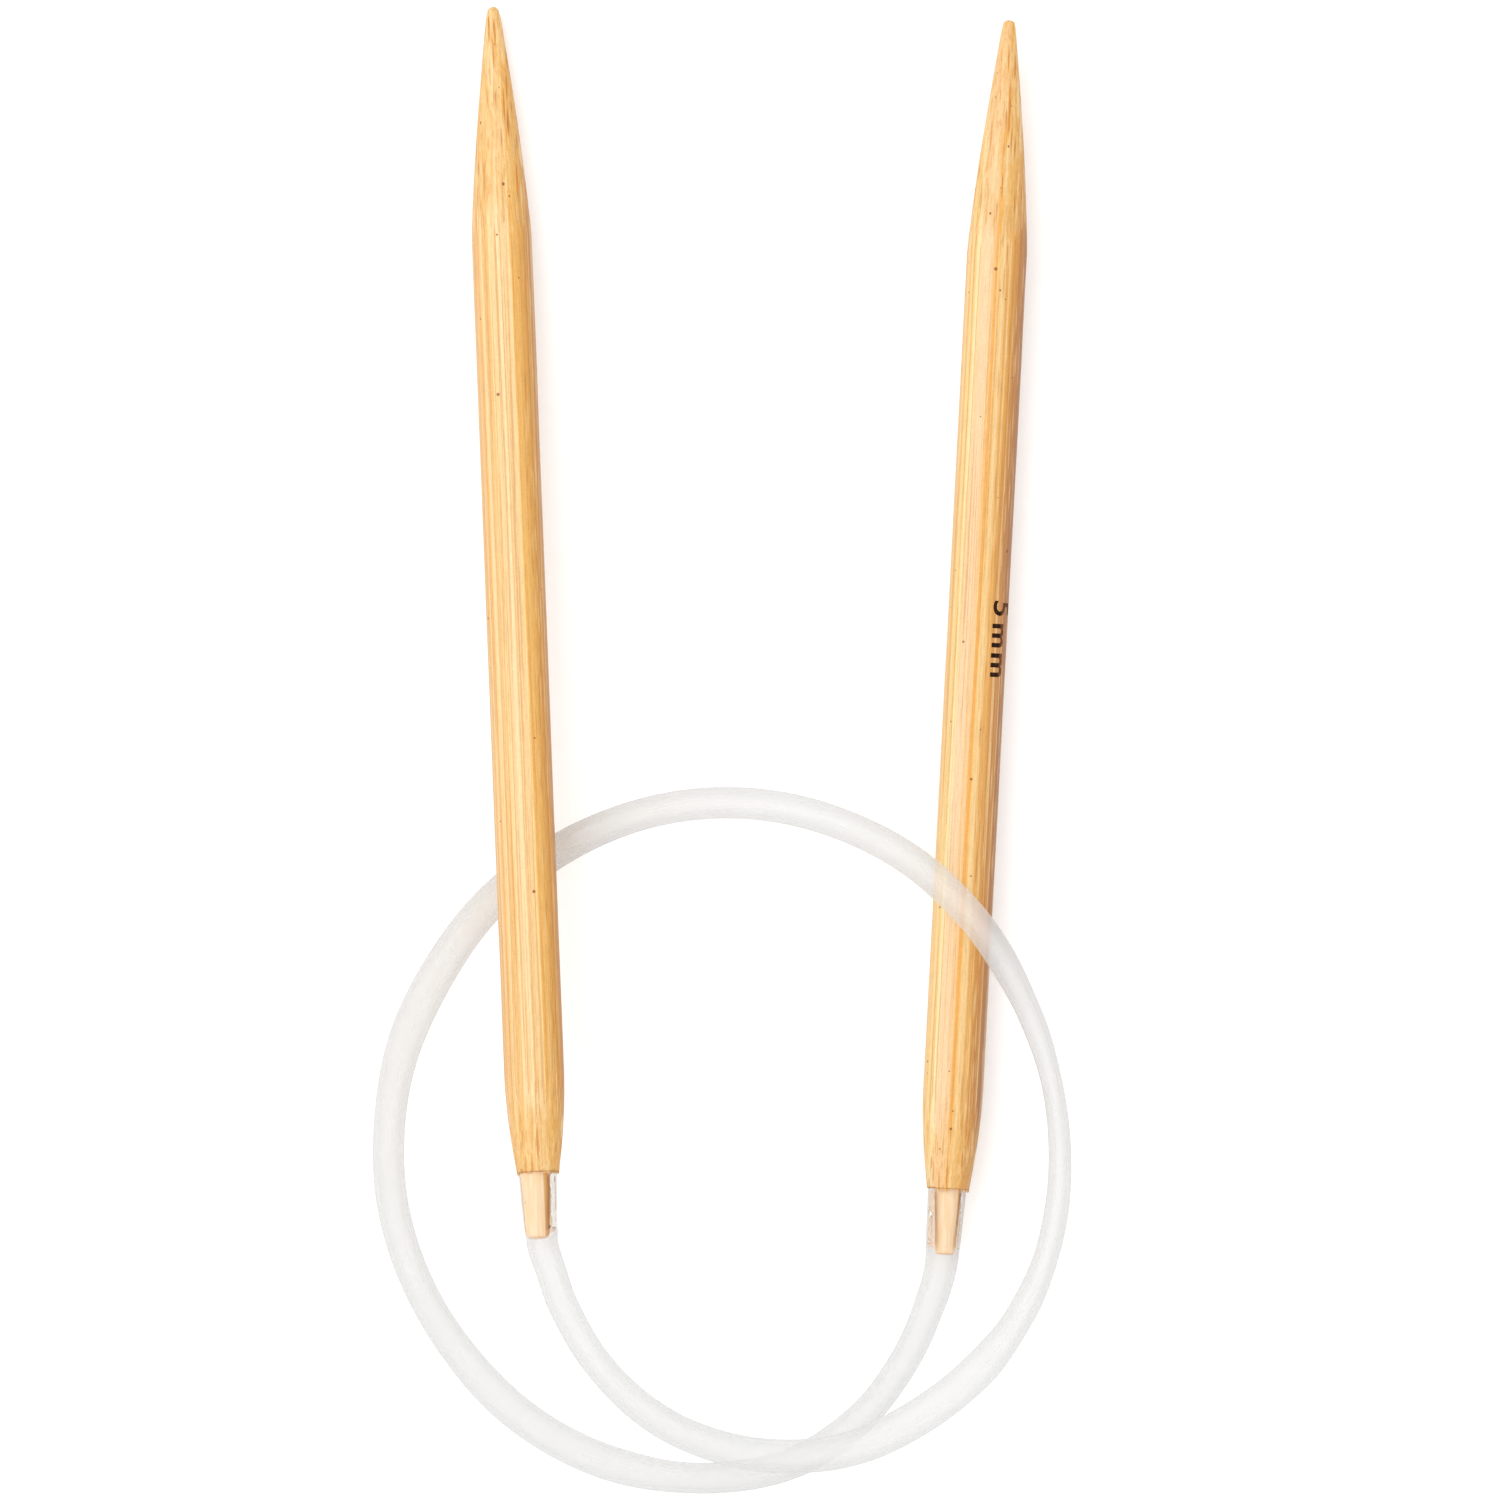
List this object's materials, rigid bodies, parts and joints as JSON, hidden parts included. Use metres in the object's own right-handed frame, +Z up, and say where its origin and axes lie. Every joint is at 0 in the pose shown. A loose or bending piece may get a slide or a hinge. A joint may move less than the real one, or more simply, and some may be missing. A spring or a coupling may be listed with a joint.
{
  "type": "circular knitting needle",
  "caption": "Circular knitting needle: two pointed bamboo needles joined end to end by a flexible clear cord that lies in one loop.",
  "frame": {"origin": "on the plane that the object lies on, at the middle of the two needles' footprint", "axes": "+Z up from the plane, +Y towards the needle tips, +X to the right needle"},
  "size_m": [0.0586, 0.1239, 0.0106],
  "materials": {
    "bamboo": "satin turned bamboo with long fibre streaks",
    "clear_cord": "translucent flexible plastic, softly glossy",
    "clear_glue": "cured clear adhesive with white air streaks"
  },
  "bodies": {
    "cord": {"cord": "clear_cord"},
    "left_neck": {"left_cord_neck": "clear_cord"},
    "left_needle": {"left_needle": "bamboo", "left_cord_sleeve": "clear_cord", "left_glue_film": "clear_glue"},
    "right_neck": {"right_cord_neck": "clear_cord"},
    "right_needle": {"right_needle": "bamboo", "right_cord_sleeve": "clear_cord", "right_glue_film": "clear_glue"}
  },
  "joints": [
    {"name": "left_swing", "type": "hinge", "parent": "cord", "child": "left_neck", "pos_m": [-0.01246, -0.06135, 0.00815], "axis": [0, 0, 1], "range_deg": [-10, 45], "stiffness_Nm_per_rad": 0.0045, "deforming": ["left_cord_neck"]},
    {"name": "left_lift", "type": "hinge", "parent": "left_neck", "child": "left_needle", "pos_m": [-0.01632, -0.05444, 0.00905], "axis": [0.9992, 0.0393, 0], "range_deg": [0, 60], "stiffness_Nm_per_rad": 0.0045, "deforming": ["left_cord_neck"]},
    {"name": "right_swing", "type": "hinge", "parent": "cord", "child": "right_neck", "pos_m": [0.01156, -0.06285, 0.00151], "axis": [0, 0, -1], "range_deg": [-10, 45], "stiffness_Nm_per_rad": 0.0045, "deforming": ["right_cord_neck"]},
    {"name": "right_lift", "type": "hinge", "parent": "right_neck", "child": "right_needle", "pos_m": [0.01534, -0.05587, 0.00225], "axis": [0.9986, -0.0523, 0], "range_deg": [-45, 0], "stiffness_Nm_per_rad": 0.0045, "deforming": ["right_cord_neck"]}
  ]
}
